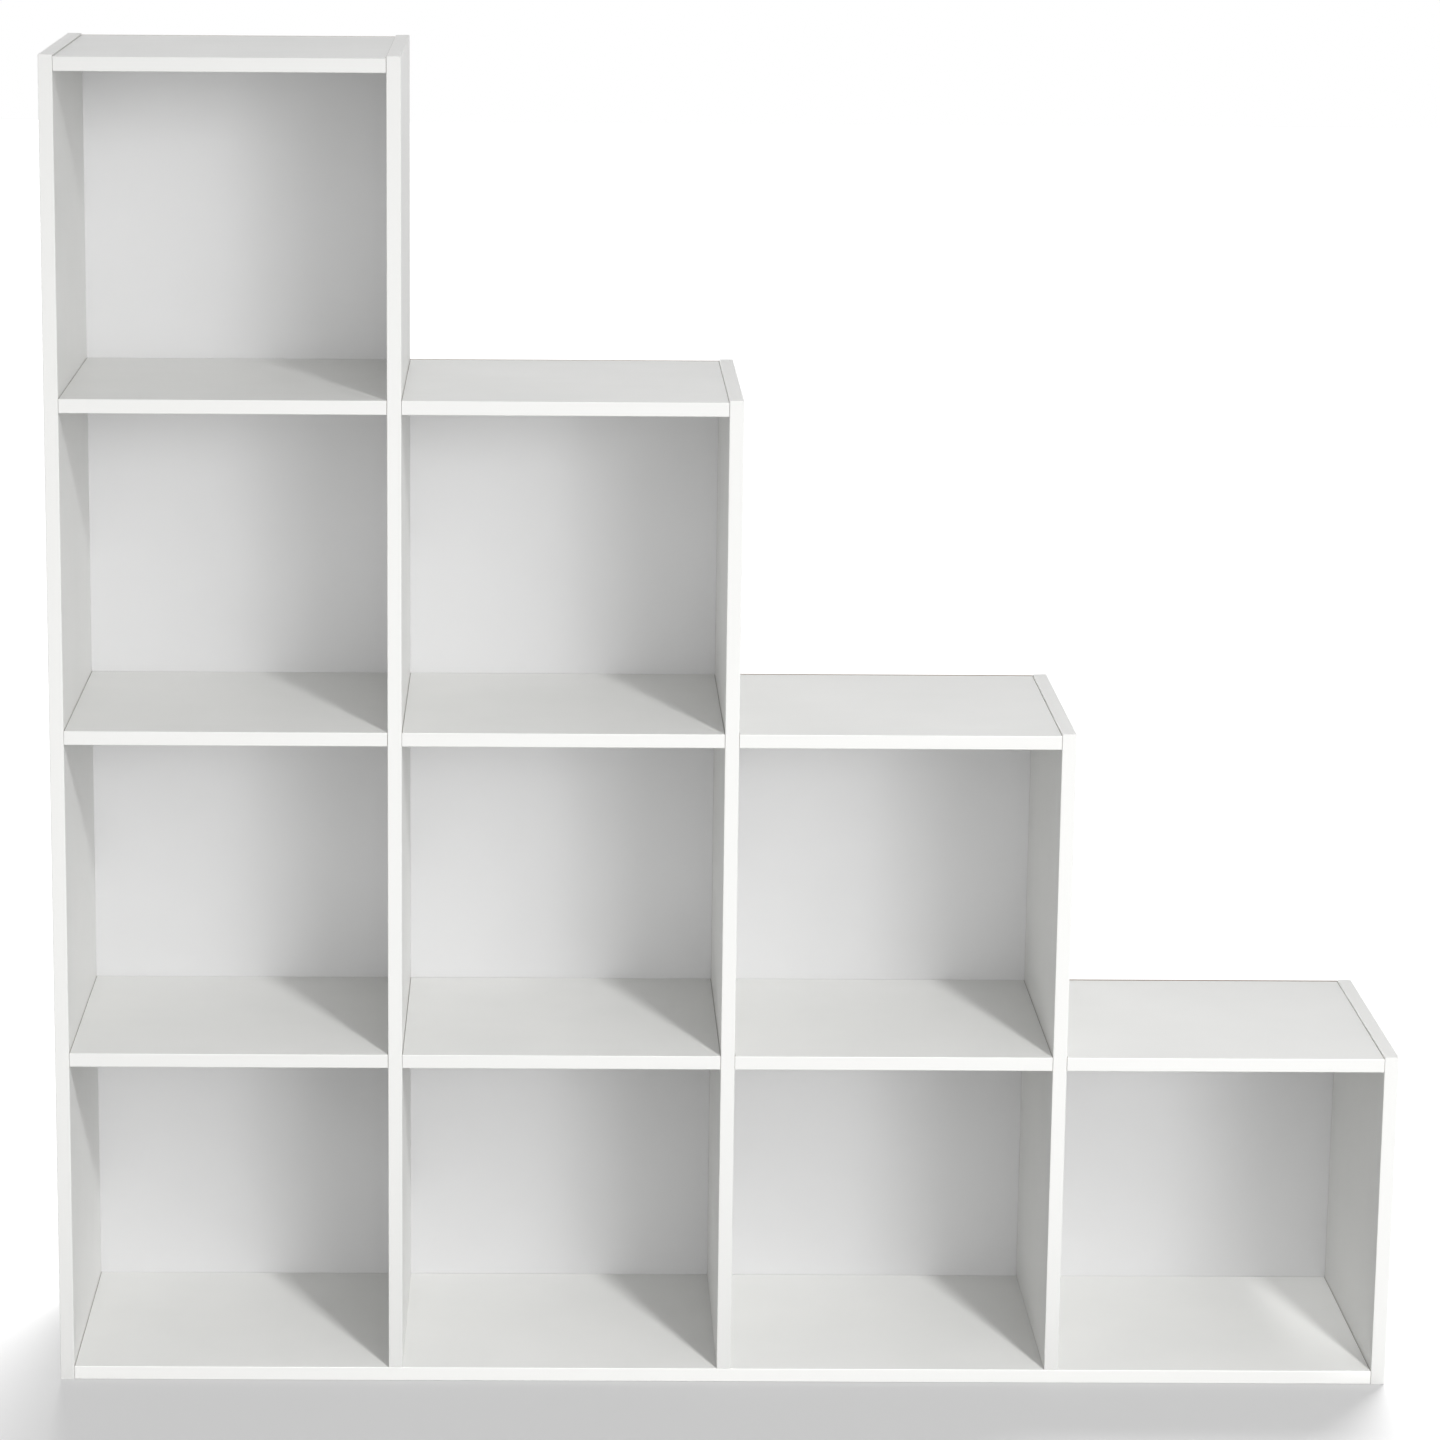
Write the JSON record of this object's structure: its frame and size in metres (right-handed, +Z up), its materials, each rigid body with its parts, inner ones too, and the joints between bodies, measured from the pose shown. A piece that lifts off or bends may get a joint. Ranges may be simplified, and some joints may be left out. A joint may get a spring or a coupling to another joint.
{
  "type": "staircase bookshelf",
  "caption": "Free-standing step-shaped bookshelf of white boards: open compartments in columns that fall from left to right, thin closed back, knock-down cam joints.",
  "frame": {"origin": "on the floor, in the middle of the outline (bounding box) seen from above", "axes": "+Z up; +X to the viewer's right along the falling steps; the open front faces -Y, the back panels +Y"},
  "size_m": [1.435, 0.2904, 1.429],
  "materials": {
    "melamine": "satin",
    "hardboard": "satin",
    "zinc": "satin"
  },
  "bodies": {
    "root": {"left_side": "melamine", "divider_1": "melamine", "divider_2": "melamine", "divider_3": "melamine", "right_side": "melamine", "base_board": "melamine", "shelf_1_1": "melamine", "shelf_1_2": "melamine", "shelf_1_3": "melamine", "shelf_2_1": "melamine", "shelf_2_2": "melamine", "shelf_3_1": "melamine", "top_board_1": "melamine", "top_board_2": "melamine", "top_board_3": "melamine", "top_board_4": "melamine", "back_panel_1": "hardboard", "back_panel_2": "hardboard", "back_panel_3": "hardboard", "back_panel_4": "hardboard", "double_bolt_divider_1_1_front": "zinc", "double_bolt_divider_1_1_rear": "zinc", "double_bolt_divider_1_2_front": "zinc", "double_bolt_divider_1_2_rear": "zinc", "double_bolt_divider_1_3_front": "zinc", "double_bolt_divider_1_3_rear": "zinc", "double_bolt_divider_2_1_front": "zinc", "double_bolt_divider_2_1_rear": "zinc", "double_bolt_divider_2_2_front": "zinc", "double_bolt_divider_2_2_rear": "zinc", "double_bolt_divider_3_1_front": "zinc", "double_bolt_divider_3_1_rear": "zinc", "cam_bolt_left_side_0_front": "zinc", "cam_bolt_left_side_0_rear": "zinc", "cam_bolt_left_side_1_front": "zinc", "cam_bolt_left_side_1_rear": "zinc", "cam_bolt_left_side_2_front": "zinc", "cam_bolt_left_side_2_rear": "zinc", "cam_bolt_left_side_3_front": "zinc", "cam_bolt_left_side_3_rear": "zinc", "cam_bolt_left_side_4_front": "zinc", "cam_bolt_left_side_4_rear": "zinc", "cam_bolt_divider_1_4_front": "zinc", "cam_bolt_divider_1_4_rear": "zinc", "cam_bolt_divider_2_3_front": "zinc", "cam_bolt_divider_2_3_rear": "zinc", "cam_bolt_divider_3_2_front": "zinc", "cam_bolt_divider_3_2_rear": "zinc", "cam_bolt_right_side_0_front": "zinc", "cam_bolt_right_side_0_rear": "zinc", "cam_bolt_right_side_1_front": "zinc", "cam_bolt_right_side_1_rear": "zinc", "base_screw_1_front": "zinc", "base_screw_1_rear": "zinc", "base_screw_2_front": "zinc", "base_screw_2_rear": "zinc", "base_screw_3_front": "zinc", "base_screw_3_rear": "zinc"}
  },
  "joints": []
}
